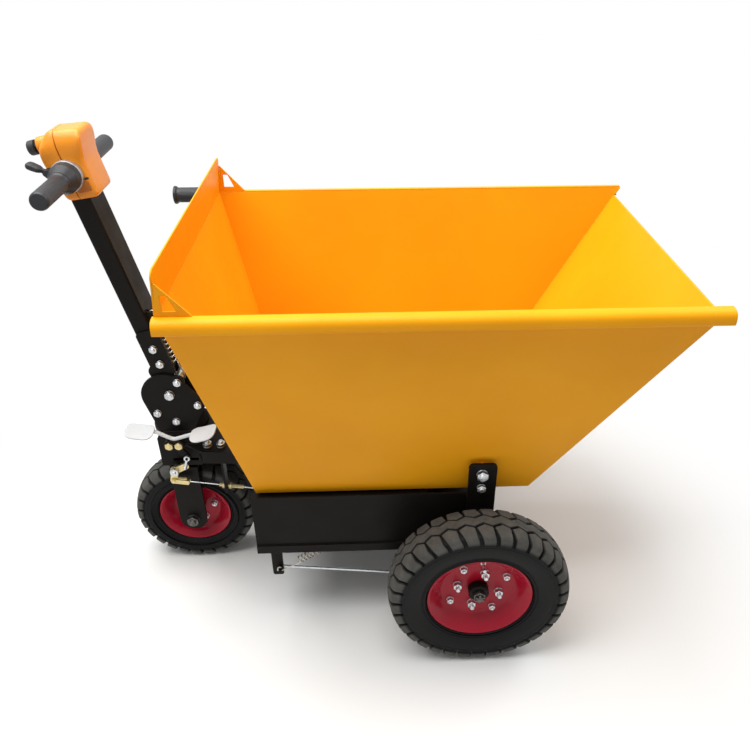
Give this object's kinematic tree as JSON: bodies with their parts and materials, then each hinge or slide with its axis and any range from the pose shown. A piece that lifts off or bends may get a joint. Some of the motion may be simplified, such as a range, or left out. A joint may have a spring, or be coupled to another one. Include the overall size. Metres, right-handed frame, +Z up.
{
  "type": "electric tipping trolley",
  "caption": "Walk-behind electric trolley with a forward-tipping steel hopper, driven front wheels, a steered rear wheel and a tiller.",
  "frame": {"origin": "on the floor, under the middle of the trolley's outline", "axes": "+X forward, the way the hopper tips; +Y to the left; +Z up"},
  "size_m": [1.2745, 0.784, 1.1044],
  "materials": {
    "black_enamel": "satin black enamel on steel plate",
    "hopper_enamel": "gloss orange-yellow enamel on sheet steel",
    "crimson_enamel": "gloss crimson enamel on pressed steel",
    "bright_zinc": "bright zinc plate",
    "yellow_zinc": "yellow passivated zinc plate",
    "spring_steel": "zinc plated spring wire",
    "bearing_steel": "ground steel",
    "battery_case": "moulded dark grey case",
    "cast_aluminium": "finned die casting",
    "motor_enamel": "black painted motor shell",
    "axle_casting": "black painted casting",
    "orange_plastic": "satin moulded orange plastic",
    "black_plastic": "moulded black plastic",
    "button_plastic": "moulded dark plastic",
    "grip_rubber": "soft dark grey rubber",
    "white_enamel": "white enamel on flat bar",
    "tyre_rubber": "dark moulded tyre rubber"
  },
  "bodies": {
    "chassis": {"chassis_box": "black_enamel", "battery_lid": "black_enamel", "rest_pads": "grip_rubber", "battery": "battery_case", "controller": "cast_aluminium", "neck": "black_enamel", "steering_box": "black_enamel", "steering_bearings": "bearing_steel", "pivot_brackets": "black_enamel", "tip_pivot_bolts": "bright_zinc", "frame_bolts": "bright_zinc", "axle_housing": "axle_casting", "drive_motor": "motor_enamel", "brake_backplates": "black_enamel", "return_springs": "spring_steel", "linkage_studs": "yellow_zinc", "cable_stop": "black_enamel", "cable_adjuster": "yellow_zinc"},
    "hopper": {"hopper_tub": "hopper_enamel", "rim_rails": "hopper_enamel", "rear_guard": "hopper_enamel", "lift_handle": "hopper_enamel", "lift_grip": "grip_rubber"},
    "steering": {"fork": "black_enamel", "kingpin": "bright_zinc", "rear_axle": "bright_zinc", "tiller_base": "black_enamel", "base_bolts": "bright_zinc"},
    "tiller": {"tiller_tube": "black_enamel", "tiller_yoke": "black_enamel", "yoke_bolts": "bright_zinc", "tiller_spring": "spring_steel", "head_front": "orange_plastic", "head_rear": "orange_plastic", "handlebar": "bright_zinc", "throttle_collar": "black_plastic", "fixed_grip": "grip_rubber"},
    "throttle": {"throttle_grip": "grip_rubber"},
    "thumb": {"thumb_lever": "black_plastic"},
    "button": {"belly_button": "button_plastic"},
    "pedal": {"brake_pedal": "white_enamel", "pedal_bolts": "yellow_zinc"},
    "link": {"brake_link": "yellow_zinc"},
    "crank": {"bellcrank": "yellow_zinc"},
    "cable": {"brake_cable": "yellow_zinc"},
    "relay": {"brake_relay": "black_enamel"},
    "rods": {"brake_rods": "bright_zinc"},
    "cams": {"cam_levers": "bright_zinc"},
    "wheel_left": {"front_tyre_left": "tyre_rubber", "front_rim_left": "crimson_enamel", "front_hub_left": "black_enamel", "wheel_nuts_left": "bright_zinc"},
    "wheel_right": {"front_tyre_right": "tyre_rubber", "front_rim_right": "crimson_enamel", "front_hub_right": "black_enamel", "wheel_nuts_right": "bright_zinc"},
    "rear_wheel": {"rear_tyre": "tyre_rubber", "rear_rim": "crimson_enamel", "rear_hub": "black_enamel", "rear_wheel_nuts": "bright_zinc"}
  },
  "joints": [
    {"name": "steer", "type": "hinge", "parent": "chassis", "child": "steering", "pos_m": [-0.447, 0, 0.407], "axis": [0, 0, 1], "range_deg": [-40, 40]},
    {"name": "tiller_tilt", "type": "hinge", "parent": "steering", "child": "tiller", "pos_m": [-0.447, 0, 0.524], "axis": [0, -1, 0], "range_deg": [0, 50], "stiffness_Nm_per_rad": 15, "springref_deg": -51.57, "deforming": ["tiller_spring"]},
    {"name": "hopper_tip", "type": "hinge", "parent": "chassis", "child": "hopper", "pos_m": [0.234, 0, 0.458], "axis": [0, 1, 0], "range_deg": [0, 75]},
    {"name": "wheel_left_spin", "type": "hinge", "parent": "chassis", "child": "wheel_left", "pos_m": [0.231, 0.344, 0.198], "axis": [0, 1, 0], "continuous": true},
    {"name": "wheel_right_spin", "type": "hinge", "parent": "chassis", "child": "wheel_right", "pos_m": [0.231, -0.344, 0.198], "axis": [0, 1, 0], "continuous": true},
    {"name": "rear_wheel_spin", "type": "hinge", "parent": "steering", "child": "rear_wheel", "pos_m": [-0.447, 0, 0.151], "axis": [0, 1, 0], "continuous": true},
    {"name": "throttle_twist", "type": "hinge", "parent": "tiller", "child": "throttle", "pos_m": [-0.55543, -0.14, 1.02234], "axis": [0, 1, 0], "range_deg": [0, 60], "stiffness_Nm_per_rad": 0.5, "springref_deg": -17.19},
    {"name": "thumb_push", "type": "hinge", "parent": "tiller", "child": "thumb", "pos_m": [-0.58685, -0.058, 1.03243], "axis": [0, -1, 0], "range_deg": [0, 20], "stiffness_Nm_per_rad": 0.3, "springref_deg": -17.19},
    {"name": "belly_press", "type": "slide", "parent": "tiller", "child": "button", "axis": [0.9763, 0, 0.2164], "range_m": [0, 0.006], "stiffness_N_per_m": 1000, "springref_m": -0.003},
    {"name": "brake_press", "type": "hinge", "parent": "chassis", "child": "pedal", "pos_m": [-0.45, -0.084, 0.398], "axis": [0, 1, 0], "range_deg": [0, 8], "stiffness_Nm_per_rad": 20, "springref_deg": -11.46},
    {"name": "link_swing", "type": "hinge", "parent": "pedal", "child": "link", "pos_m": [-0.426, -0.08, 0.367], "axis": [0, 1, 0], "range_deg": [-20.48, 0]},
    {"name": "crank_turn", "type": "hinge", "parent": "chassis", "child": "crank", "pos_m": [-0.462, -0.08, 0.325], "axis": [0, 1, 0], "range_deg": [0, 9.28]},
    {"name": "cable_pull", "type": "slide", "parent": "chassis", "child": "cable", "axis": [-0.9847, 0, 0.174], "range_m": [0, 0.005]},
    {"name": "relay_turn", "type": "hinge", "parent": "chassis", "child": "relay", "pos_m": [-0.22, 0, 0.337], "axis": [0, 1, 0], "range_deg": [0, 3.3], "deforming": ["return_springs"]},
    {"name": "rod_pull", "type": "slide", "parent": "chassis", "child": "rods", "axis": [-1, 0, 0], "range_m": [0, 0.011]},
    {"name": "cam_turn", "type": "hinge", "parent": "chassis", "child": "cams", "pos_m": [0.1827, 0, 0.1456], "axis": [0, 1, 0], "range_deg": [0, 10.58]}
  ],
  "couplings": [
    {"joint": "link_swing", "follows": "brake_press", "ratio": -2.4977},
    {"joint": "crank_turn", "follows": "brake_press", "ratio": 1.098},
    {"joint": "cable_pull", "follows": "brake_press", "m_per_rad": 0.032411},
    {"joint": "relay_turn", "follows": "brake_press", "ratio": 0.37548},
    {"joint": "rod_pull", "follows": "brake_press", "m_per_rad": 0.075438},
    {"joint": "cam_turn", "follows": "brake_press", "ratio": 1.2598}
  ]
}
